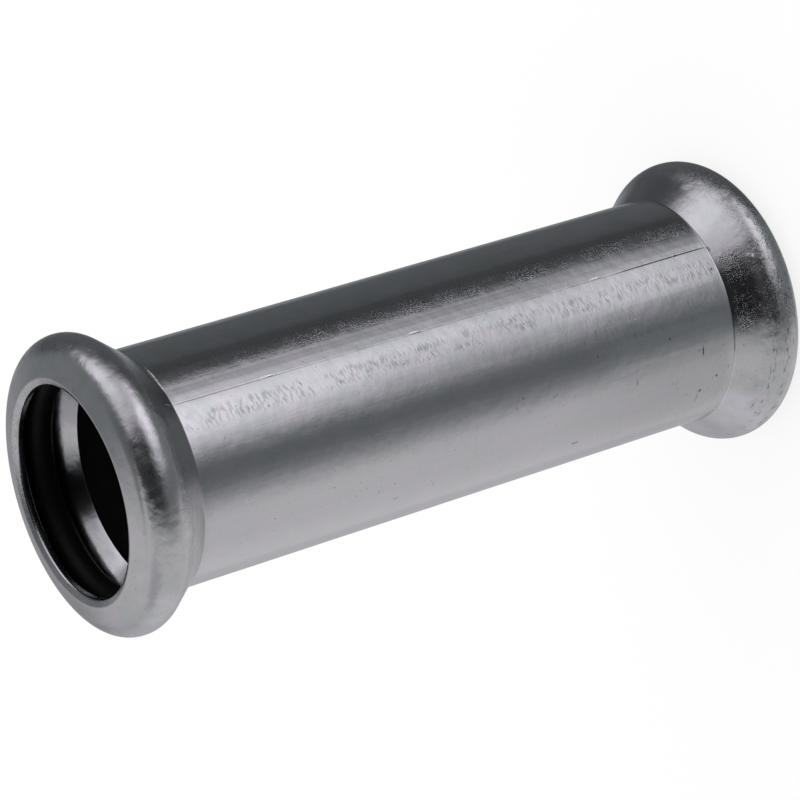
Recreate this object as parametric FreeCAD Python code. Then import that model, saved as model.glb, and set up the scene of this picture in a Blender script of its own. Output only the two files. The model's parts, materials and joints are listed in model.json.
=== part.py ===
import FreeCAD, Part
import os
from math import acos, atan2, cos, hypot, pi, sin, tan

# Press slip coupling for thin-walled steel pipe.
# One length of tube is rolled into a hollow bead at each end, and each bead holds a rubber
# sealing ring. There is no stop inside, so a pipe can slide right through.
# It stands on its lower end: the origin is the centre of the lower end face, and +Z runs
# along the axis to the upper end. All sizes are in millimetres.
# Both ends are alike, so a place is given by its depth from the nearer end face and its
# radius from the axis.

# Pipe and tube
pipe_diameter = 22.0        # the pipe that the coupling is made for
bore_play = 0.2             # between the pipe and the bore, on the radius
wall = 1.5                  # wall of the straight tube
total_length = 84.0

# Sealing ring
seal_section = 3.0          # thickness of the ring
seal_play = 0.15            # between the pipe and the ring before pressing, on the radius
seat_gap = 0.1              # between the ring and the flare that it leans on

# Rolled bead
bead_wall = 1.3             # the wall is stretched a little thinner over the bead
front_play = 0.35           # between the ring and the front wall, when it is centred
crown_room = 0.5            # between the ring and the inside of the crown
crown_tuck = 0.05           # the crown is rolled this much tighter than the ring's round
shoulder_run = 2.7          # from the ring's side to the corner where the bore starts
crease_lag = 0.85           # the outside crease lies this much deeper than that corner
crease_round = 0.8          # hollow round where the flare meets the tube outside
shoulder_round = 0.2        # edge of the bore at the foot of the flare, inside

# Lip round the mouth
lip_play = 0.25             # between the pipe and the lip, on the radius
lip_edge = 0.68             # from the lip's inside to the rim that the end stands on
lip_bevel = 0.33            # depth of the bevel that leads from the rim to the lip's inside
lip_round = 0.3             # round where the bevel meets the lip's inside
rim_land = 0.15             # the narrow flat that the rim is worn to

# Sizes that follow
pipe_radius = pipe_diameter / 2
bore_radius = pipe_radius + bore_play
tube_radius = bore_radius + wall
seal_round = seal_section / 2
seal_ring_radius = pipe_radius + seal_play + seal_round

crown_depth = bead_wall + seal_round + front_play
crown_inner_round = seal_round - crown_tuck
crown_outer_round = crown_inner_round + bead_wall
cavity_radius = pipe_radius + seal_play + seal_section + crown_room
crown_ring_radius = cavity_radius - crown_inner_round
shoulder_depth = crown_depth + seal_round + shoulder_run
crease_depth = shoulder_depth + crease_lag

lip_radius = pipe_radius + lip_play
rim_radius = lip_radius + lip_edge
land_radius = rim_radius + rim_land


def tangent_angle(depth, radius, round_radius, side):
    """Angle, from the deep side of the crown's centre, at which a straight line from the
    given point touches the crown's round. side is +1 where the line touches it clockwise
    of the point's own direction, and -1 where it touches it the other way."""
    along = depth - crown_depth
    across = radius - crown_ring_radius
    return atan2(across, along) + side * acos(round_radius / hypot(along, across))


def on_crown(round_radius, angle):
    """Depth and radius of the point of the crown's round at an angle."""
    return (crown_depth + round_radius * cos(angle),
            crown_ring_radius + round_radius * sin(angle))


def fillet(before, corner, after, radius):
    """The two ends and the middle of a round that replaces the corner of a path."""
    to_before = (before[0] - corner[0], before[1] - corner[1])
    to_after = (after[0] - corner[0], after[1] - corner[1])
    before_length = hypot(*to_before)
    after_length = hypot(*to_after)
    unit_before = (to_before[0] / before_length, to_before[1] / before_length)
    unit_after = (to_after[0] / after_length, to_after[1] / after_length)
    opening = acos(unit_before[0] * unit_after[0] + unit_before[1] * unit_after[1])
    setback = radius / tan(opening / 2)
    start = (corner[0] + setback * unit_before[0], corner[1] + setback * unit_before[1])
    end = (corner[0] + setback * unit_after[0], corner[1] + setback * unit_after[1])
    inward = (unit_before[0] + unit_after[0], unit_before[1] + unit_after[1])
    inward_length = hypot(*inward)
    reach = radius / sin(opening / 2) - radius
    middle = (corner[0] + reach * inward[0] / inward_length,
              corner[1] + reach * inward[1] / inward_length)
    return start, middle, end


# Angles at which the walls of the bead run into the rounds of the crown.
front_outer = tangent_angle(0, land_radius, crown_outer_round, -1) + 2 * pi
flare_outer = tangent_angle(crease_depth, tube_radius, crown_outer_round, 1)
flare_inner = tangent_angle(shoulder_depth, bore_radius, crown_inner_round, 1)
front_lean = pi - front_outer


def outside_of_end():
    """Outside of one end, from the rim over the crown and down the flare to the tube, and
    the point where the straight tube goes on."""
    crown_start = on_crown(crown_outer_round, front_outer)
    crown_top = on_crown(crown_outer_round, (front_outer + flare_outer) / 2)
    crown_end = on_crown(crown_outer_round, flare_outer)
    crease = (crease_depth, tube_radius)
    along_tube = (total_length / 2, tube_radius)
    hollow = fillet(crown_end, crease, along_tube, crease_round)
    steps = [("line", (0, land_radius), crown_start),
             ("arc", crown_start, crown_top, crown_end),
             ("line", crown_end, hollow[0]),
             ("arc", *hollow)]
    return steps, hollow[2]


def inside_of_end():
    """Inside of one end, from the bore's edge up the flare, round the crown and down the
    front wall to the lip, then over the lip's bevel to the rim; and the point where the
    straight bore goes on."""
    crown_start = on_crown(crown_inner_round, flare_inner)
    crown_top = on_crown(crown_inner_round, (flare_inner + front_outer) / 2)
    crown_end = on_crown(crown_inner_round, front_outer)
    shoulder = (shoulder_depth, bore_radius)
    along_bore = (total_length / 2, bore_radius)
    edge = fillet(along_bore, shoulder, crown_start, shoulder_round)
    # The front wall's inside is parallel to its outside, down to the lip.
    drop = crown_end[1] - lip_radius
    lip_back = (crown_end[0] - drop * tan(front_lean), lip_radius)
    rim = (0, rim_radius)
    lip = fillet(lip_back, (lip_bevel, lip_radius), rim, lip_round)
    steps = [("arc", *edge),
             ("line", edge[2], crown_start),
             ("arc", crown_start, crown_top, crown_end),
             ("line", crown_end, lip_back),
             ("line", lip_back, lip[0]),
             ("arc", *lip),
             ("line", lip[2], rim),
             ("line", rim, (0, land_radius))]
    return steps, edge[0]


def place(point, upper):
    """A depth and a radius as a point in the XZ plane, at the lower or the upper end."""
    depth, radius = point
    return FreeCAD.Vector(radius, 0, total_length - depth if upper else depth)


def edges_of(steps, upper):
    """Lines and arcs of a profile at one end."""
    edges = []
    for kind, *points in steps:
        placed = [place(point, upper) for point in points]
        if kind == "line":
            edges.append(Part.makeLine(*placed))
        else:
            edges.append(Part.Arc(*placed).toShape())
    return edges


def coupling_body():
    """The rolled tube: one closed wall section, turned about the axis."""
    outside, tube_start = outside_of_end()
    inside, bore_start = inside_of_end()
    edges = []
    for upper in (False, True):
        edges += edges_of(outside, upper)
        edges += edges_of(inside, upper)
    edges.append(Part.makeLine(place(tube_start, False), place(tube_start, True)))
    edges.append(Part.makeLine(place(bore_start, False), place(bore_start, True)))
    section = Part.Face(Part.Wire(Part.__sortEdges__(edges)))
    return section.revolve(FreeCAD.Vector(0, 0, 0), FreeCAD.Vector(0, 0, 1), 360)


def seal_depth():
    """Depth at which the ring leans on the flare's inside, less the seat's gap."""
    across = seal_ring_radius - bore_radius
    return shoulder_depth - (seal_round + seat_gap + across * sin(flare_inner)) / cos(flare_inner)


def sealing_ring(upper):
    """A round rubber ring in the bead of one end."""
    centre = place((seal_depth(), 0), upper)
    return Part.makeTorus(seal_ring_radius, seal_round, centre, FreeCAD.Vector(0, 0, 1))


os.makedirs("parts", exist_ok=True)
nodes = {"coupling_body": coupling_body(),
         "lower_seal": sealing_ring(False),
         "upper_seal": sealing_ring(True)}
for name, shape in nodes.items():
    shape.exportStep("parts/" + name + ".step")
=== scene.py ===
import json
from functools import reduce
from math import acos, atan2, cos, hypot, pi, radians, sin, tan

import bpy
import numpy as np
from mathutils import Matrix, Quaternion, Vector


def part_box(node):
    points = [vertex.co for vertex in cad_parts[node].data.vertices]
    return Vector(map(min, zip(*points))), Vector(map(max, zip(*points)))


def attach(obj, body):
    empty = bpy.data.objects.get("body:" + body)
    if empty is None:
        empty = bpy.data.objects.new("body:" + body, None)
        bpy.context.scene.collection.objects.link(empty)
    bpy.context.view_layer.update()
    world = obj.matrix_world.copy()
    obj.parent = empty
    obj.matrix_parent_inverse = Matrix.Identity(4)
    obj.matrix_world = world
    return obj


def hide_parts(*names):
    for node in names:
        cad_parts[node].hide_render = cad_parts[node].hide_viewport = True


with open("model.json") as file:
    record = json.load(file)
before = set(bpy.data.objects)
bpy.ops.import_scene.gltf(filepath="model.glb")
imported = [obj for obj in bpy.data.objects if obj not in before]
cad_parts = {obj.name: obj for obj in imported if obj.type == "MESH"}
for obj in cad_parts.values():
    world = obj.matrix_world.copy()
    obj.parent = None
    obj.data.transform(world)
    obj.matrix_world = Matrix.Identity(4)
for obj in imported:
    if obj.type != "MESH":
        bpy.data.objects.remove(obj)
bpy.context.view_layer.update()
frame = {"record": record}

# The looks of a press slip coupling: a drawn steel tube with a rolled bead at each end and a
# rubber sealing ring in each bead. It stands on its lower end, with +Z along its axis.
# Lengths are in metres and angles in radians, and the steel's patterns are in millimetres.

mm = 0.001

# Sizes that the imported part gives
ring_low, ring_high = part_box("upper_seal")
sockets = {mount["name"]: mount for mount in frame["record"]["mounts"]}
total_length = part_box("coupling_body")[1].z
bore_radius = sockets["upper_socket"]["dims"]["r_mm"] * mm
seal_round = (ring_high.z - ring_low.z) / 2
seal_ring_radius = ring_high.x - seal_round

# Tube and bead
wall = 1.5 * mm
tube_radius = bore_radius + wall
crown_depth = 3.15 * mm         # from the end face to the middle of the crown's round
crown_ring_radius = 13.2 * mm   # from the axis to the middle of the crown's round
crown_outer_round = 2.737 * mm  # the solid's is 2.75, and its faces lie a little inside it
crown_inner_round = 1.45 * mm
crease_depth = 8.2 * mm         # outside corner between flare and tube
crease_round = 0.4 * mm
shoulder_depth = 7.35 * mm      # inside corner between flare and bore
shoulder_round = 0.2 * mm
bore_fade = 2 * mm              # length over which the bore's duller finish sets in
unevenness = 0.006 * mm         # of the drawn wall

# Lip and rim of the mouth
lip_radius = 11.25 * mm
lip_bevel = 0.33 * mm
lip_round = 0.3 * mm
lip_back_round = 0.12 * mm
rim_radius = 11.93 * mm
land_radius = 12.08 * mm
rim_round = 0.3 * mm            # the rim's edges are worn round

# Weld seam along the tube
seam_azimuth = radians(-65)     # groove at the strip's edge
strip_half_width = radians(4)   # the strip is ground flat
strip_azimuth = seam_azimuth + strip_half_width
seam_width = 0.16 * mm
seam_depth = 0.05 * mm
seam_open_below = 24 * mm       # the groove is deepest below this height
seam_open_above = 60 * mm       # and a little deeper than in the middle above this one
seam_closing = 7 * mm           # length over which its depth changes
seam_middle_share = 0.2         # of its depth, in the tube's middle
seam_upper_share = 0.4          # of its depth, near the upper bead

# Moulding line of the rings, as shares of the round of their section
line_width = 0.06
line_height = 0.006
ring_waver = 0.001

# Density of the meshes
columns_around = 240
seam_columns = 24               # closer ones across the seam
seam_reach = 2.5                # seam widths that they cover on each side
seam_clearance = 1.2            # times that reach, inside which no even column lies
ring_columns = 200
ring_rows = 56

# Camera, at the photograph's angle on the upper mouth
camera_place = Vector((0, -0.32525, 0.233545))
camera_aim = Vector((-0.000807, 0, 0.043888))
camera_roll = radians(107.14)
camera_lens = 159.15


# Section of the wall

def tangent_angle(depth, radius, round_radius, side):
    """Angle at which a line from a point touches the crown's round: the point's direction from
    the round's middle, plus side times the angle whose cosine is round over distance."""
    along = depth - crown_depth
    across = radius - crown_ring_radius
    return atan2(across, along) + side * acos(round_radius / hypot(along, across))


def crown_corner(round_radius, front_angle, flare_angle):
    """Depth and radius where the lines that touch the crown's round at the two angles meet:
    on the middle direction, at the round divided by the cosine of half the angle between."""
    reach = round_radius / cos((front_angle - flare_angle) / 2)
    middle = (front_angle + flare_angle) / 2
    return crown_depth + reach * cos(middle), crown_ring_radius + reach * sin(middle)


def rounded_path(corners):
    """Points along a path of straight runs whose corners are tangent arcs. Each corner is
    (depth, radius, round, arc steps, run steps), where run steps divide the run that follows.
    An arc's middle lies on the corner's bisector, at round over the sine of the half angle."""
    places = np.array([corner[:2] for corner in corners])
    starts, ends, arcs = [places[0]], [places[0]], [places[:0]]
    for before, place, after, corner in zip(places, places[1:], places[2:], corners[1:]):
        round_radius, arc_steps = corner[2:4]
        back = (before - place) / np.linalg.norm(before - place)
        on = (after - place) / np.linalg.norm(after - place)
        half = acos(back @ on) / 2
        bisector = (back + on) / np.linalg.norm(back + on)
        middle = place + bisector * round_radius / sin(half)
        turn = np.linspace(half - pi / 2, pi / 2 - half, arc_steps)[1:-1, None]
        side = (on - back) / np.linalg.norm(on - back)
        starts.append(place + back * round_radius / tan(half))
        ends.append(place + on * round_radius / tan(half))
        arcs.append(middle + round_radius * (np.sin(turn) * side - np.cos(turn) * bisector))
    points = []
    for arc, start, end, following, corner in zip(arcs, starts, ends, starts[1:], corners):
        points += [start[None], arc] if len(arc) else []
        share = np.linspace(0, 1, corner[4], endpoint=False)[:, None]
        points.append(end + share * (following - end))
    points += [starts[-1][None], arcs[-1]]
    share = np.linspace(0, 1, corners[-2][4] + 1)[:, None]
    points.append(ends[-1] + share * (places[-1] - ends[-1]))
    return np.concatenate(points)


def wall_of_end():
    """The wall of one end as a path of depths and radii: from the tube's middle outside, up
    the flare, over the crown, down the front wall to the rim, over the lip, and back inside."""
    front = tangent_angle(0, land_radius, crown_outer_round, -1) + 2 * pi
    flare_outer = tangent_angle(crease_depth, tube_radius, crown_outer_round, 1)
    flare_inner = tangent_angle(shoulder_depth, bore_radius, crown_inner_round, 1)
    outer_crown = crown_corner(crown_outer_round, front, flare_outer)
    inner_crown = crown_corner(crown_inner_round, front, flare_inner)
    lip_back = inner_crown[0] - (inner_crown[1] - lip_radius) * tan(pi - front)
    middle = total_length / 2
    return rounded_path([
        (middle, tube_radius, 0, 0, 34),
        (crease_depth, tube_radius, crease_round, 9, 10),
        (*outer_crown, crown_outer_round, 44, 8),
        (0, land_radius, rim_round, 4, 1),
        (0, rim_radius, rim_round, 5, 3),
        (lip_bevel, lip_radius, lip_round, 7, 3),
        (lip_back, lip_radius, lip_back_round, 5, 5),
        (*inner_crown, crown_inner_round, 22, 8),
        (shoulder_depth, bore_radius, shoulder_round, 5, 12),
        (middle, bore_radius, 0, 0, 0),
    ])


# Surfaces

def grid_faces(rows, columns):
    """Corners of the four-sided faces of a grid that closes on itself both ways."""
    row, column = np.meshgrid(np.arange(rows), np.arange(columns), indexing="ij")
    next_row, next_column = (row + 1) % rows, (column + 1) % columns
    corners = [row * columns + column, row * columns + next_column,
               next_row * columns + next_column, next_row * columns + column]
    return np.stack(corners, -1).reshape(-1, 4)


def closed_piece(name, x, y, z, turns, along, attributes):
    """A smooth closed mesh from grids of x, y and z. Its UV map holds the share of a full turn
    and the share of the way along the section, each face's far side counted on past 1."""
    rows, columns = x.shape
    faces = grid_faces(rows, columns)
    mesh = bpy.data.meshes.new(name)
    mesh.from_pydata(np.stack([x, y, z], -1).reshape(-1, 3), [], faces)
    for attribute_name, values in attributes.items():
        attribute = mesh.attributes.new(attribute_name, "FLOAT", "POINT")
        attribute.data.foreach_set("value", values.astype(np.float32).ravel())
    u = np.append(turns, turns[0] + 1)
    v = np.append(along, 1)
    row, column = np.divmod(faces[:, 0], columns)
    corner_uv = [(u[column], v[row]), (u[column + 1], v[row]),
                 (u[column + 1], v[row + 1]), (u[column], v[row + 1])]
    uv = mesh.uv_layers.new(name="wrap")
    flat = np.stack([np.stack(pair, -1) for pair in corner_uv], 1)
    uv.data.foreach_set("uv", flat.astype(np.float32).ravel())
    mesh.polygons.foreach_set("use_smooth", np.ones(len(faces), bool))
    mesh.update()
    piece = bpy.data.objects.new(name, mesh)
    bpy.context.scene.collection.objects.link(piece)
    return piece


def azimuths_with_seam():
    """Angles round the axis: evenly spaced ones, and more of them across the seam."""
    even = np.linspace(-pi, pi, columns_around, endpoint=False)
    reach = seam_reach * seam_width / tube_radius
    close = np.linspace(seam_azimuth - reach, seam_azimuth + reach, seam_columns)
    apart = even[np.abs(even - seam_azimuth) > reach * seam_clearance]
    return np.sort(np.concatenate([apart, close]))


def uneven(height, azimuth):
    """Slow unevenness of a drawn and rolled wall, from about -1 to 1: a sum of a few waves
    that run round the axis a whole number of times and along it at other rates."""
    up = height / total_length * 2 * pi
    waves = 0.45 * np.sin(2 * azimuth + 1.3 * up + 0.4)
    waves += 0.30 * np.sin(5 * azimuth - 2.1 * up + 1.9)
    waves += 0.25 * np.sin(9 * azimuth + 4.7 * up + 0.7)
    return waves


def outer_relief(height, azimuth):
    """How far the outside of the tube stands off its true radius. Across the ground strip the
    wall is a chord: radius times (cos half width / cos angle - 1). The seam at its edge is a
    V of its width, which is deepest near the lower bead."""
    angle = azimuth - strip_azimuth
    chord = tube_radius * (cos(strip_half_width) / np.cos(np.clip(angle, -1, 1)) - 1)
    strip = np.where(np.abs(angle) < strip_half_width, chord, 0)
    off_seam = np.abs(azimuth - seam_azimuth) * tube_radius
    slot = np.clip(1 - off_seam / (seam_width / 2), 0, 1)
    near_lower = (seam_open_below - height) / seam_closing
    near_upper = (height - seam_open_above) / seam_closing
    open_share = np.maximum(np.clip(near_lower, seam_middle_share, 1),
                            np.clip(near_upper, seam_middle_share, seam_upper_share))
    return strip - seam_depth * slot * open_share + unevenness * uneven(height, azimuth)


def coupling_skin():
    """The coupling's wall: its section turned about the axis, so that x is the radius times
    the cosine of the azimuth, y the radius times its sine, and z the height."""
    end = wall_of_end()
    upper = np.stack([total_length - end[:, 0], end[:, 1]], 1)
    lower = end[-2:0:-1]
    section = np.concatenate([upper, lower])
    azimuths = azimuths_with_seam()
    height = np.repeat(section[:, :1], len(azimuths), 1)
    azimuth = np.repeat(azimuths[None], len(section), 0)
    depth = np.minimum(height, total_length - height)

    # The section starts and ends with the outside, which runs to the rim at both ends.
    to_rim = np.argmin(end[:, 0])
    outside = np.zeros(len(section))
    outside[:to_rim + 1] = 1
    outside[2 * len(end) - 2 - to_rim:] = 1
    outside = np.repeat(outside[:, None], len(azimuths), 1)
    on_tube = np.clip((depth - crease_depth) / crease_round, 0, 1)
    radius = np.repeat(section[:, 1:], len(azimuths), 1)
    radius += outside * on_tube * outer_relief(height, azimuth)
    in_bore = (1 - outside) * np.clip((depth - shoulder_depth) / bore_fade, 0, 1)

    steps = np.linalg.norm(np.diff(section, axis=0, append=section[:1]), axis=1)
    along = np.concatenate([[0], np.cumsum(steps)[:-1]]) / steps.sum()
    skin = closed_piece("coupling_skin", radius * np.cos(azimuth), radius * np.sin(azimuth),
                        height, azimuths / (2 * pi) + 0.5, along,
                        {"outside": outside, "on_tube": on_tube, "in_bore": in_bore})
    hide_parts("coupling_body")
    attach(skin, "root")
    return skin


def sealing_ring(name, node):
    """A round rubber ring in the place of a node: its section's middle lies one ring radius
    from the axis, and a fine moulding line stands proud along its inner and outer edge."""
    low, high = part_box(node)
    azimuths = np.linspace(-pi, pi, ring_columns, endpoint=False)
    angles = np.linspace(-pi, pi, ring_rows, endpoint=False)
    azimuth, angle = np.meshgrid(azimuths, angles)
    line = np.exp(-(np.sin(angle) / line_width) ** 2)
    proud = line_height * (line - 1) + ring_waver * np.sin(3 * azimuth)
    thickness = seal_round * (1 + proud)
    radius = seal_ring_radius + thickness * np.cos(angle)
    height = (low.z + high.z) / 2 + thickness * np.sin(angle)
    ring = closed_piece(name, radius * np.cos(azimuth), radius * np.sin(azimuth), height,
                        azimuths / (2 * pi) + 0.5, angles / (2 * pi) + 0.5, {})
    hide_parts(node)
    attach(ring, "root")
    return ring


# Materials

lilac_grey = (0.363, 0.350, 0.375)
slate_grey = (0.322, 0.332, 0.338)
# Rubbed steel, which also colours the painted highlight along the lower crease
rubbed_steel_and_highlight = (0.50, 0.50, 0.51)
# Colour of the painted glints, highlights painted into the steel
painted_glint_colour = (0.95, 0.95, 0.96)
# Dark of the marks, and of the painted shade in the creases
grime_and_painted_shade = (0.03, 0.03, 0.031)
rubber_black = (0.002, 0.002, 0.002)
rubber_bloom = (0.005, 0.005, 0.005)


def new_material(name):
    """An empty node material and its tree."""
    material = bpy.data.materials.new(name)
    material.use_nodes = True
    material.node_tree.nodes.clear()
    return material, material.node_tree


def add(tree, kind, inputs=None, **settings):
    """A shader node. An input that is a socket is linked, and any other is set."""
    made = tree.nodes.new("ShaderNode" + kind)
    for name, value in settings.items():
        setattr(made, name, value)
    for key, value in (inputs or {}).items():
        if isinstance(value, bpy.types.NodeSocket):
            tree.links.new(value, made.inputs[key])
        else:
            made.inputs[key].default_value = value
    return made


def calc(tree, operation, *values):
    """The result of a Math node."""
    return add(tree, "Math", dict(enumerate(values)), operation=operation).outputs[0]


def total(tree, *values):
    """All the values added up."""
    return reduce(lambda so_far, value: calc(tree, "ADD", so_far, value), values)


def product(tree, *values):
    """All the values multiplied."""
    return reduce(lambda so_far, value: calc(tree, "MULTIPLY", so_far, value), values)


def most(tree, *values):
    """The highest of the values."""
    return reduce(lambda so_far, value: calc(tree, "MAXIMUM", so_far, value), values)


def vector(tree, x, y=0.0, z=0.0):
    """Three values as a vector."""
    return add(tree, "CombineXYZ", {0: x, 1: y, 2: z}).outputs[0]


def ramp(tree, value, start, end, low=0.0, high=1.0):
    """A smooth step from low, where value is start, to high, where it is end."""
    ranges = {"Value": value, "From Min": start, "From Max": end, "To Min": low, "To Max": high}
    return add(tree, "MapRange", ranges, interpolation_type="SMOOTHSTEP").outputs["Result"]


def band(tree, value, start, end, edge):
    """1 between start and end, fading to 0 over an edge outside them."""
    return product(tree, ramp(tree, value, start - edge, start), ramp(tree, value, end + edge, end))


def noise(tree, place, size, detail=2.0, roughness=0.5, **inputs):
    """Fractal noise from 0 to 1, whose largest features are about size across."""
    values = {"Vector": place, "Scale": 1 / size, "Detail": detail, "Roughness": roughness}
    dimensions = "4D" if "W" in inputs else "3D"
    return add(tree, "TexNoise", {**values, **inputs}, noise_dimensions=dimensions).outputs["Fac"]


def blend(tree, share, first, second):
    """The first value where share is 0 and the second where it is 1."""
    return add(tree, "Mix", {"Factor": share, "A": first, "B": second}).outputs["Result"]


def blend_colour(tree, share, first, second):
    """The first colour where share is 0 and the second where it is 1."""
    colours = [value if isinstance(value, bpy.types.NodeSocket) else (*value, 1)
               for value in (first, second)]
    # The Mix node's colour sockets are inputs 6 and 7 and output 2.
    inputs = {"Factor": share, 6: colours[0], 7: colours[1]}
    return add(tree, "Mix", inputs, data_type="RGBA").outputs[2]


def attribute(tree, name):
    """An attribute of the mesh, from 0 to 1."""
    return add(tree, "Attribute", attribute_name=name).outputs["Fac"]


def place_in_millimetres(tree):
    """A point's place on the object, in millimetres."""
    place = add(tree, "TexCoord").outputs["Object"]
    return add(tree, "VectorMath", {0: place, 1: (1 / mm, 1 / mm, 1 / mm)},
               operation="MULTIPLY").outputs[0]


class SteelPlaces:
    """The places that the steel's patterns are made from: lengths in millimetres, and stretches
    of the surface as shares from 0 to 1."""

    def __init__(self, tree):
        self.point = place_in_millimetres(tree)
        xyz = add(tree, "SeparateXYZ", {0: self.point})
        self.x, self.y, self.z = xyz.outputs["X"], xyz.outputs["Y"], xyz.outputs["Z"]
        squares = total(tree, product(tree, self.x, self.x), product(tree, self.y, self.y))
        self.radius = calc(tree, "SQRT", squares)
        from_top = calc(tree, "SUBTRACT", total_length / mm, self.z)
        self.depth = calc(tree, "MINIMUM", self.z, from_top)
        # Distance round the tube from the seam, positive away from the ground strip
        turn = add(tree, "SeparateXYZ", {0: add(tree, "UVMap", uv_map="wrap").outputs[0]})
        behind = calc(tree, "SUBTRACT", seam_azimuth / (2 * pi) + 0.5, turn.outputs["X"])
        self.from_seam = product(tree, behind, 2 * pi * tube_radius / mm)
        self.outside = attribute(tree, "outside")
        self.tube = product(tree, self.outside, attribute(tree, "on_tube"))
        self.in_bore = attribute(tree, "in_bore")


def drawing_marks(tree, at):
    """Fine marks from 0 to 1: lengthwise on the tube, and round the beads and the bore."""
    lengthwise = vector(tree, at.x, at.y, product(tree, at.z, 0.03))
    drawn = noise(tree, lengthwise, 0.5, 3.0, 0.6)
    around = vector(tree, at.radius, at.z, product(tree, at.x, 0.08))
    rolled = noise(tree, around, 0.5, 3.0, 0.6, W=product(tree, at.y, 0.16))
    return blend(tree, at.tube, rolled, drawn)


def drawn_waves(tree, at):
    """Broad lengthwise waves of the tube, from 0 to 1."""
    return noise(tree, vector(tree, at.x, at.y, product(tree, at.z, 0.05)), 3.2, 1.0)


def strokes_aslant(tree, at, lean, seed):
    """Short crosswise strokes from 0 to 1 that lean round the tube by a share of their run."""
    wander = product(tree, noise(tree, at.point, 0.9, 1.0), 1.4)
    along = total(tree, product(tree, at.z, 3.4), product(tree, at.from_seam, lean), wander)
    place = vector(tree, along, product(tree, at.from_seam, 0.9), seed)
    return ramp(tree, noise(tree, place, 1.0, 1.0), 0.50, 0.66)


def chatter_strokes(tree, at):
    """Short crosswise marks from 0 to 1 beside the seam, in patches, two slants mixed. Near the
    lower bead they reach further round, and are fainter there."""
    near_lower = ramp(tree, at.z, 36.0, 26.0)
    further = product(tree, band(tree, at.from_seam, 3.0, 7.0, 2.0), near_lower, 0.3)
    beside = most(tree, band(tree, at.from_seam, 1.7, 2.8, 0.9), further)
    patches = ramp(tree, noise(tree, vector(tree, at.z, 2.0, at.from_seam), 3.0, 2.0), 0.30, 0.52)
    strokes = most(tree, strokes_aslant(tree, at, 0.7, 0.0),
                   product(tree, strokes_aslant(tree, at, -0.4, 7.0), 0.7))
    return product(tree, strokes, beside, patches, at.tube)


def seam_line(tree, at):
    """How dark the weld seam is, from 0 to 1: clear near the lower bead, and faint above."""
    line = ramp(tree, calc(tree, "ABSOLUTE", at.from_seam), 0.10, 0.03)
    near_lower = ramp(tree, at.z, 21.0, 18.5)
    near_upper = ramp(tree, at.z, 62.0, 70.0, 0.0, 0.45)
    faint = ramp(tree, noise(tree, vector(tree, at.z, 9.0), 3.0, 1.0), 0.45, 0.6, 0.0, 0.35)
    return product(tree, line, most(tree, near_lower, near_upper, faint), at.tube)


def line_past_strip(tree, at):
    """A fine line with gaps past the ground strip's other edge, from 0 to 1."""
    from_line = calc(tree, "ABSOLUTE", total(tree, at.from_seam, 2.3))
    line = ramp(tree, from_line, 0.12, 0.03)
    gaps = ramp(tree, noise(tree, vector(tree, at.z, 5.0), 1.4, 2.0), 0.42, 0.58)
    return product(tree, line, gaps, at.tube)


def galling(tree, at):
    """Roughened places from 0 to 1: a stretch of the lower flare by its crease, a band on the
    tube beside the ground strip, fainter near its upper end, the side of the lower crown, and
    the lip of each mouth."""
    up_flare = most(tree, band(tree, at.z, 6.4, 7.5, 0.6),
                    product(tree, band(tree, at.z, 4.6, 6.4, 0.6), 0.6))
    by_crease = product(tree, up_flare, band(tree, at.from_seam, 2.2, 9.5, 1.4), at.outside)
    beside_strip = product(tree, band(tree, at.from_seam, -4.0, -2.7, 0.7),
                           ramp(tree, at.z, 65.0, 56.0, 0.35, 1.0), at.tube)
    on_crown = product(tree, band(tree, at.z, 2.0, 4.4, 1.0),
                       band(tree, at.from_seam, -7.0, 8.0, 3.0), at.outside, 0.8)
    on_lip = product(tree, band(tree, at.radius, 11.3, 11.9, 0.1),
                     ramp(tree, at.depth, 0.6, 0.4), 0.4)
    patches = ramp(tree, noise(tree, at.point, 2.2, 2.0), 0.28, 0.55)
    return product(tree, most(tree, by_crease, beside_strip, on_crown, on_lip), patches)


def painted_crease_shade(tree, at):
    """Painted shade from 0 to 1: a thin dark line in the fold of each crease."""
    uneven_line = ramp(tree, noise(tree, at.point, 3.0, 1.0), 0.3, 0.6, 0.45, 1.0)
    return product(tree, band(tree, at.depth, 8.15, 8.19, 0.07), uneven_line, at.outside)


def painted_crease_highlight(tree, at):
    """A painted highlight from 0 to 1: a light line along the edge of the lower crease, on a
    stretch of it.
    """
    return product(tree, band(tree, at.z, 8.1, 8.16, 0.07),
                   band(tree, at.from_seam, 12.8, 19.5, 1.0), at.outside)


def pits(tree, at):
    """Small scattered dark specks from 0 to 1."""
    specks = ramp(tree, noise(tree, at.point, 0.3, 0.0), 0.76, 0.83)
    patches = ramp(tree, noise(tree, at.point, 6.0, 1.0), 0.4, 0.6)
    return product(tree, specks, patches)


def scuffs(tree, at):
    """Flecks from 0 to 1 that run round the lower crown, in two chains on its lower side and one
    beside the seam."""
    on_crown, by_flare = band(tree, at.z, 3.1, 3.5, 0.35), band(tree, at.z, 4.6, 4.9, 0.25)
    low_chains = product(tree, most(tree, on_crown, product(tree, by_flare, 0.7)),
                         band(tree, at.from_seam, 9.5, 21.0, 3.0))
    seam_chain = product(tree, on_crown, band(tree, at.from_seam, -1.5, 5.5, 1.5))
    place = vector(tree, product(tree, at.z, 6.0), product(tree, at.from_seam, 1.1), 4.0)
    flecks = ramp(tree, noise(tree, place, 1.0, 1.0), 0.54, 0.66)
    return product(tree, flecks, most(tree, low_chains, seam_chain), at.outside)


def scratches(tree, at, lean, seed):
    """Fine straight scratches from 0 to 1, which lean across the tube."""
    across = total(tree, at.z, product(tree, at.from_seam, -lean))
    along = total(tree, product(tree, at.z, lean), at.from_seam)
    place = vector(tree, product(tree, across, 5.0), product(tree, along, 0.4), seed)
    return ramp(tree, noise(tree, place, 1.0, 0.0), 0.76, 0.84)


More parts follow.
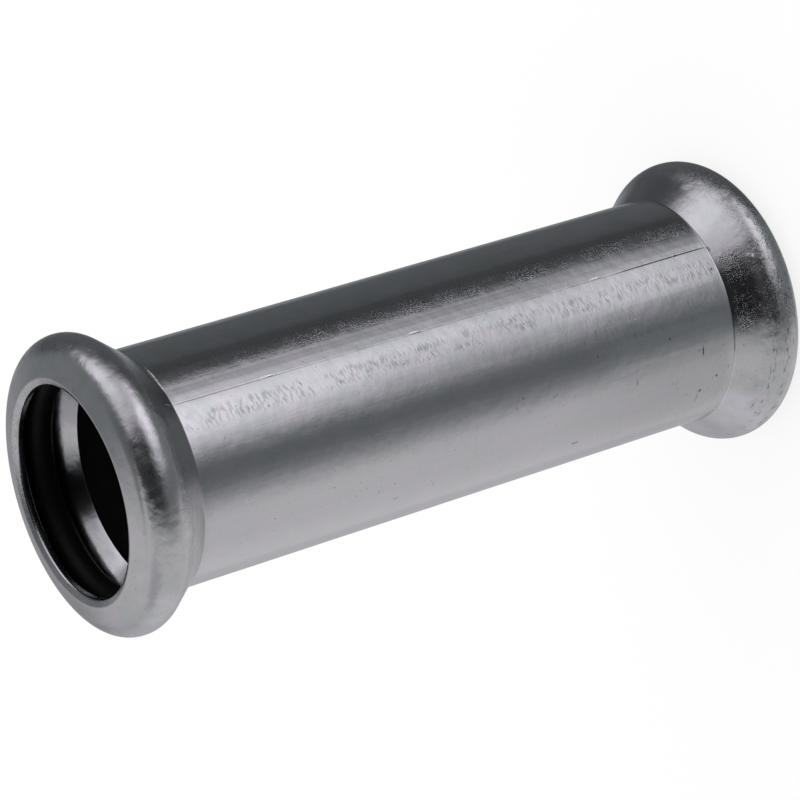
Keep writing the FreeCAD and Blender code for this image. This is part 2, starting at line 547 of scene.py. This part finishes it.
# Nicks: height and azimuth of the middle, half length along the axis and half width round it,
# in millimetres and degrees, and how dark each is
nicks = [
    (12.5, -115.2, 0.14, 0.80, 1.0),
    (13.0, -114.2, 0.40, 0.12, 0.4),
    (8.9, -77.2, 0.20, 0.24, 1.0),
    (10.4, -131.2, 0.18, 0.20, 1.0),
    (12.4, -137.8, 0.24, 0.26, 0.8),
    (12.6, -142.0, 0.13, 0.85, 0.5),
    (13.4, -88.8, 0.08, 0.70, 0.35),
    (12.8, -90.6, 0.08, 0.60, 0.3),
    (28.8, -147.2, 0.60, 0.20, 0.8),
    (52.1, -145.0, 0.50, 0.16, 0.5),
    (16.8, -104.0, 0.16, 0.20, 0.7),
    (64.2, -65.0, 1.00, 0.08, 0.8),
    (46.4, -65.1, 1.10, 0.09, 0.9),
    (23.0, -65.0, 0.90, 0.08, 0.7),
    (12.4, -65.0, 0.22, 0.16, 0.8),
    (8.1, -66.8, 0.16, 0.42, 0.9),
    (5.5, -149.5, 0.12, 0.60, 0.5),
    (21.2, -97.0, 0.12, 0.35, 0.45),
    (20.3, -98.2, 0.10, 0.25, 0.3),
    (27.7, -94.1, 0.14, 0.30, 0.4),
    (26.7, -86.2, 0.07, 0.85, 0.45),
    (10.9, -71.3, 0.08, 0.08, 0.5),
    (21.5, -120.9, 0.14, 0.55, 0.4),
    (21.0, -118.9, 0.10, 0.35, 0.35),
    (4.8, -119.3, 0.10, 0.35, 0.5),
    (4.9, -153.4, 0.16, 0.25, 0.5),
    (2.5, -117.0, 0.14, 0.45, 0.55),
    (3.5, -160.3, 0.20, 0.30, 0.4),
]


# Painted glints, listed in the same way: highlights painted bright into the steel's colour on burrs
# of the seam and of the lower flare, on specks of the tube, and in the upper crease
painted_glint_places = [
    (64.5, -64.3, 1.00, 0.10, 0.8),
    (46.6, -64.3, 0.90, 0.10, 0.7),
    (23.2, -64.2, 0.90, 0.12, 0.8),
    (12.7, -64.9, 0.12, 0.18, 0.7),
    (5.0, -78.6, 0.12, 0.30, 0.8),
    (5.3, -77.6, 0.20, 0.12, 0.6),
    (20.6, -89.6, 0.08, 0.10, 0.6),
    (11.3, -89.6, 0.09, 0.12, 0.5),
    (19.0, -88.4, 0.14, 0.14, 0.25),
    (75.72, -48.0, 0.20, 2.40, 1.0),
    (76.4, -65.4, 0.70, 0.10, 0.8),
]


def marked_places(tree, at, table):
    """A table's places from 0 to 1: each is at its strength in its middle and 0 past an ellipse
    round it."""
    marks = []
    for height, azimuth, length, width, strength in table:
        middle = (seam_azimuth - radians(azimuth)) * tube_radius / mm
        along = calc(tree, "DIVIDE", calc(tree, "SUBTRACT", at.z, height), length)
        around = calc(tree, "DIVIDE", calc(tree, "SUBTRACT", at.from_seam, middle), width)
        away = total(tree, product(tree, along, along), product(tree, around, around))
        marks.append(ramp(tree, away, 1.0, 0.2, 0.0, strength))
    ragged = ramp(tree, noise(tree, at.point, 0.25, 1.0), 0.3, 0.5)
    return product(tree, total(tree, *marks), ragged, at.outside)


def rubbed_bright(tree, at):
    """How bright the tube is rubbed, from 0 to about 1: beside the seam and further round near
    the lower end, and along the seam's edge near both ends."""
    beside = product(tree, band(tree, at.from_seam, -0.6, 3.8, 0.5), ramp(tree, at.z, 32.0, 18.0))
    further = product(tree, band(tree, at.from_seam, 8.0, 10.2, 1.3),
                      ramp(tree, at.z, 28.0, 22.0))
    near_ends = total(tree, ramp(tree, at.z, 32.0, 12.0), ramp(tree, at.z, 50.0, 72.0, 0.0, 0.6))
    edge = product(tree, band(tree, at.from_seam, -0.55, -0.15, 0.3), near_ends)
    rubbed = total(tree, product(tree, beside, 0.5), product(tree, edge, 0.6),
                   product(tree, further, 0.6))
    return product(tree, rubbed, at.tube)


def dark_stretches(tree, at):
    """How dark the tube's broad stretches are, from 0 to 1: the ground strip and a line along
    it, a stain beyond it, and a dull stretch beside the seam round the tube's middle."""
    strip = product(tree, band(tree, at.from_seam, -1.7, -0.4, 0.5), 0.10)
    along_strip = product(tree, band(tree, at.from_seam, -1.65, -1.15, 0.3),
                          ramp(tree, at.z, 22.0, 36.0), 0.24)
    stain = product(tree, band(tree, at.from_seam, -5.2, -4.5, 0.6), 0.16)
    dull = product(tree, band(tree, at.from_seam, 2.1, 4.8, 0.8),
                   band(tree, at.z, 37.0, 50.0, 7.0), 0.13)
    return product(tree, total(tree, strip, along_strip, stain, dull), at.tube)


class SteelMarks:
    """The patterns that the steel's colour, roughness and relief share, each from 0 to 1."""

    def __init__(self, tree, at):
        self.drawing = drawing_marks(tree, at)
        self.strokes = chatter_strokes(tree, at)
        self.galled = galling(tree, at)
        # Painted highlights: the glints painted bright into the colour
        self.painted_glints = marked_places(tree, at, painted_glint_places)
        self.grain = noise(tree, at.point, 0.13, 0.0)
        self.dents = noise(tree, at.point, 1.3, 2.0, 0.45)
        self.crown = product(tree, at.outside, ramp(tree, at.radius, 14.2, 15.2))
        self.light_dots = product(tree, self.galled, ramp(tree, self.grain, 0.60, 0.69))


def steel_colour(tree, at, marks):
    """A patchy grey, brighter where it is rubbed and darker where it is marked, with painted
    glints, a painted highlight along part of the lower crease and painted shade in the fold of each
    crease. The side that faces away from the seam darkens from the upper end to the lower."""
    patina = noise(tree, at.point, 2.6, 3.0, 0.6)
    scratched = total(tree, scratches(tree, at, 0.9, 3.0), scratches(tree, at, -0.25, 8.0))
    dark_dots = product(tree, marks.galled, ramp(tree, marks.grain, 0.44, 0.36))
    # Painted highlight along part of the lower crease
    painted_fold_highlight = painted_crease_highlight(tree, at)
    underside = product(tree, band(tree, at.from_seam, 10.5, 21.5, 4.0), at.tube)

    slate_share = product(tree, ramp(tree, patina, 0.35, 0.65), blend(tree, underside, 1.0, 0.35))
    tone = blend_colour(tree, slate_share, lilac_grey, slate_grey)
    bright = total(tree,
                   product(tree, marks.drawing, 0.2),
                   product(tree, scratched, at.tube, 0.2),
                   product(tree, marks.light_dots, blend(tree, at.tube, 0.65, 0.32)),
                   product(tree, underside, ramp(tree, at.z, 34.0, 60.0), 0.12),
                   product(tree, painted_fold_highlight, 0.35),
                   rubbed_bright(tree, at))
    # Rubbed steel and the painted highlight along the lower crease
    worn_and_highlit = blend_colour(tree, bright, tone, rubbed_steel_and_highlight)
    # Painted highlights: the glints painted bright into the colour
    with_painted_glints = blend_colour(tree, marks.painted_glints, worn_and_highlit, painted_glint_colour)
    dark = total(tree,
                 product(tree, seam_line(tree, at), 0.8),
                 product(tree, line_past_strip(tree, at), 0.4),
                 product(tree, marked_places(tree, at, nicks), 0.8),
                 # Painted shade in the fold of each crease, fainter under its painted highlight
                 product(tree, painted_crease_shade(tree, at), blend(tree, painted_fold_highlight, 0.6, 0.1)),
                 product(tree, pits(tree, at), 0.38),
                 product(tree, scuffs(tree, at), 0.6),
                 product(tree, marks.strokes, 0.36),
                 product(tree, dark_dots, 0.75),
                 dark_stretches(tree, at),
                 product(tree, underside, ramp(tree, at.z, 36.0, 14.0), 0.20))
    return blend_colour(tree, dark, with_painted_glints, grime_and_painted_shade)


def steel_roughness(tree, at, marks):
    """Roughness of the steel, which is higher on its marks and dents, on the crowns and in the
    bore."""
    rough_crown = ramp(tree, marks.dents, 0.3, 0.7, 0.08, 0.13)
    return total(tree, 0.10,
                 product(tree, marks.drawing, 0.08),
                 product(tree, marks.dents, 0.08),
                 product(tree, marks.crown, rough_crown),
                 product(tree, marks.light_dots, 0.25),
                 product(tree, marks.painted_glints, 0.25),
                 product(tree, at.in_bore, 0.08))


def steel_relief(tree, at, marks):
    """Height of the steel's fine relief, in millimetres."""
    return total(tree,
                 product(tree, marks.drawing, 0.006),
                 product(tree, drawn_waves(tree, at), at.tube, 0.05),
                 product(tree, marks.dents, blend(tree, marks.crown, 0.025, 0.09)),
                 product(tree, marks.grain, blend(tree, marks.galled, 0.003, 0.02)),
                 product(tree, marks.strokes, -0.004))


def satin_steel():
    """Drawn grey steel with its seam, its marks from drawing and rolling, and its nicks."""
    material, tree = new_material("satin_steel")
    at = SteelPlaces(tree)
    marks = SteelMarks(tree, at)
    colour = steel_colour(tree, at, marks)
    roughness = steel_roughness(tree, at, marks)
    relief = steel_relief(tree, at, marks)
    bump = add(tree, "Bump", {"Strength": 1.0, "Distance": mm, "Height": relief})
    shader = add(tree, "BsdfPrincipled", {"Base Color": colour, "Metallic": 1.0,
                                          "Roughness": roughness, "Normal": bump.outputs[0]})
    add(tree, "OutputMaterial", {"Surface": shader.outputs[0]})
    return material


def moulded_rubber():
    """Black rubber with a faint gloss and a slightly uneven skin, in millimetres."""
    material, tree = new_material("moulded_rubber")
    place = place_in_millimetres(tree)
    fine = noise(tree, place, 0.3, 2.0)
    broad = noise(tree, place, 1.6, 1.0)
    colour = blend_colour(tree, ramp(tree, fine, 0.5, 0.8), rubber_black, rubber_bloom)
    roughness = total(tree, 0.42, product(tree, broad, 0.16))
    relief = total(tree, product(tree, fine, 0.006), product(tree, broad, 0.012))
    bump = add(tree, "Bump", {"Strength": 1.0, "Distance": mm, "Height": relief})
    shader = add(tree, "BsdfPrincipled", {"Base Color": colour, "Roughness": roughness,
                                          "Specular IOR Level": 0.07, "Normal": bump.outputs[0]})
    add(tree, "OutputMaterial", {"Surface": shader.outputs[0]})
    return material


# Stage

floor_reach = 3.0
floor_level = 1.02              # just past white
white_share = 0.8               # of the floor's look that doesn't depend on the light on it
card_columns = 49
card_rows = 33
dusk = (0.93, 1.0, 1.03)
lilac = (1.0, 0.985, 1.035)


def seen_directly(tree):
    """1 for what the camera, a reflection or a clear body shows, and 0 for other light."""
    path = add(tree, "LightPath")
    return most(tree, path.outputs["Is Camera Ray"], path.outputs["Is Glossy Ray"],
                path.outputs["Is Transmission Ray"])


def pale_floor():
    """A white floor that keeps a part of the shadow that falls on it."""
    mesh = bpy.data.meshes.new("floor")
    r = floor_reach
    mesh.from_pydata([(-r, -r, 0), (r, -r, 0), (r, r, 0), (-r, r, 0)], [], [(0, 1, 2, 3)])
    floor = bpy.data.objects.new("floor", mesh)
    bpy.context.scene.collection.objects.link(floor)
    material, tree = new_material("floor_white")
    matt = add(tree, "BsdfDiffuse", {"Color": (0.9, 0.9, 0.9, 1)})
    white = add(tree, "Emission", {"Color": (1, 1, 1, 1), "Strength": floor_level})
    share = calc(tree, "MULTIPLY", seen_directly(tree), white_share)
    mixed = add(tree, "MixShader", {0: share, 1: matt.outputs[0], 2: white.outputs[0]})
    add(tree, "OutputMaterial", {"Surface": mixed.outputs[0]})
    mesh.materials.append(material)
    floor.visible_glossy = False


def card_material(name, colour, level, fade):
    """A card that shows in polished surfaces at a plain level, and fades out at its edges over
    shares of its width (at the low and high azimuth) and of its height (below and above)."""
    material, tree = new_material(name)
    uv = add(tree, "SeparateXYZ", {0: add(tree, "UVMap", uv_map="card").outputs[0]})
    edges = []
    for across, (low, high) in zip("XY", fade):
        if low > 0:
            edges.append(ramp(tree, uv.outputs[across], 0.0, low))
        if high > 0:
            edges.append(ramp(tree, uv.outputs[across], 1.0, 1 - high))
    clear = add(tree, "BsdfTransparent")
    glow = add(tree, "Emission", {"Color": (*colour, 1), "Strength": level})
    mixed = add(tree, "MixShader", {0: product(tree, *edges), 1: clear.outputs[0],
                                    2: glow.outputs[0]})
    add(tree, "OutputMaterial", {"Surface": mixed.outputs[0]})
    return material


def card(name, azimuths, elevations, distance, colour, level, soft):
    """A card on a sphere about the part's middle, between two azimuths and two elevations,
    which only reflections show. It fades out at its four edges over the soft angles, given for
    the two edges of azimuth and then of elevation. Angles are in degrees, and a card at a
    smaller distance covers the ones behind it."""
    azimuth, elevation = np.meshgrid(np.linspace(*azimuths, card_columns),
                                     np.linspace(*elevations, card_rows))
    azimuth, elevation = np.radians(azimuth), np.radians(elevation)
    x = distance * np.cos(elevation) * np.cos(azimuth)
    y = distance * np.cos(elevation) * np.sin(azimuth)
    z = total_length / 2 + distance * np.sin(elevation)
    row, column = np.meshgrid(np.arange(card_rows - 1), np.arange(card_columns - 1), indexing="ij")
    first = (row * card_columns + column).ravel()
    faces = np.stack([first, first + 1, first + card_columns + 1, first + card_columns], 1)
    mesh = bpy.data.meshes.new(name)
    mesh.from_pydata(np.stack([x, y, z], -1).reshape(-1, 3), [], faces)
    corners = faces.ravel()
    uv = np.stack([corners % card_columns / (card_columns - 1),
                   corners // card_columns / (card_rows - 1)], 1)
    mesh.uv_layers.new(name="card").data.foreach_set("uv", uv.astype(np.float32).ravel())
    fade = [[angle / (ends[1] - ends[0]) for angle in angles]
            for angles, ends in zip(soft, (azimuths, elevations))]
    mesh.materials.append(card_material(name + "_face", colour, level, fade))
    made = bpy.data.objects.new(name, mesh)
    bpy.context.scene.collection.objects.link(made)
    made.visible_camera = False
    made.visible_diffuse = False
    made.visible_shadow = False


def studio():
    """A white world with cards all round the part, which stand where the photographed metal
    shows light and dark. Two bright ones with brighter middles stand for the soft lamps that
    streak the tube, near-black ones by the camera part those streaks, and grey ones give the
    beads, the bore and the tube's edges their tones. Some stand below the floor, which doesn't
    show in the metal, as the photographed part lies on its side."""
    world = bpy.data.worlds.new("studio")
    world.use_nodes = True
    background = world.node_tree.nodes["Background"]
    background.inputs["Color"].default_value = (1, 1, 1, 1)
    background.inputs["Strength"].default_value = 1.0
    bpy.context.scene.world = world
    card("back_wall", (62, 140), (-76, 46), 1.10, lilac, 0.75, ((14, 14), (34, 34)))
    card("room", (-156, 107), (-89, 89), 1.05, dusk, 0.36, ((34, 34), (0, 0)))
    card("back_strip", (140, 178), (-34, 46), 1.06, lilac, 1.17, ((14, 14), (24, 24)))
    card("back_left", (138, 194), (16, 60), 1.04, lilac, 0.7, ((14, 14), (14, 14)))
    card("low_back_wall", (88, 128), (-62, -14), 1.08, lilac, 0.58, ((14, 24), (14, 12)))
    card("low_back", (64, 118), (-30, 22), 1.02, lilac, 0.44, ((16, 14), (18, 14)))
    card("overhead", (-180, 134), (52, 89), 1.00, dusk, 0.22, ((20, 20), (30, 0)))
    card("camera_below", (-127, -96), (-78, 2), 0.95, dusk, 0.26, ((9, 9), (7, 7)))
    card("camera_above", (-132, -40), (-18, 89), 0.90, dusk, 0.03, ((12, 12), (34, 0)))
    card("right_below", (-34, 77), (-73, 32), 0.85, dusk, 0.13, ((22, 22), (10, 10)))
    card("right_side", (2, 62), (-62, 2), 0.83, dusk, 0.18, ((22, 16), (16, 16)))
    card("low_soft_box", (-99, -11), (-42, 16), 0.80, lilac, 0.85, ((12, 12), (18, 18)))
    card("low_soft_box_core", (-94, -17), (-51, 4), 0.75, lilac, 2.08, ((34, 34), (34, 20)))
    card("high_soft_box", (-72, 18), (-18, 69), 0.70, lilac, 1.15, ((30, 34), (34, 18)))
    card("above_high_box", (-134, -44), (50, 80), 0.68, dusk, 0.0, ((12, 16), (7, 7)))
    card("high_soft_box_core", (-39, 28), (11, 52), 0.65, lilac, 1.68, ((19, 19), (12, 12)))
    card("underneath", (-180, 180), (-89, -63), 0.60, dusk, 0.36, ((0, 0), (0, 16)))


def soft_lamp(name, place, size, power):
    """A square soft lamp that faces the part's middle."""
    lamp = bpy.data.lights.new(name, "AREA")
    lamp.shape = "SQUARE"
    lamp.size = size
    lamp.energy = power
    made = bpy.data.objects.new(name, lamp)
    made.location = place
    to_part = Vector((0, 0, total_length / 2)) - made.location
    made.rotation_euler = to_part.to_track_quat("-Z", "Y").to_euler()
    bpy.context.scene.collection.objects.link(made)
    made.visible_glossy = False
    return made


def camera():
    """The camera, aimed at a point by the part's middle and rolled about its own axis."""
    data = bpy.data.cameras.new("camera")
    data.lens = camera_lens
    data.sensor_width = 36
    data.clip_start = 0.01
    made = bpy.data.objects.new("camera", data)
    made.location = camera_place
    level = (camera_aim - camera_place).to_track_quat("-Z", "Y")
    made.rotation_euler = (level @ Quaternion((0, 0, 1), -camera_roll)).to_euler()
    bpy.context.scene.collection.objects.link(made)
    bpy.context.scene.camera = made


camera()
pale_floor()
studio()
soft_lamp("key_lamp", (0.55, -0.2, 0.5), 0.5, 0.8)

skin = coupling_skin()
skin.data.materials.append(satin_steel())
rubber = moulded_rubber()
for place in ("upper", "lower"):
    ring = sealing_ring(place + "_sealing_ring", place + "_seal")
    ring.data.materials.append(rubber)

bpy.context.scene.view_settings.view_transform = "Standard"
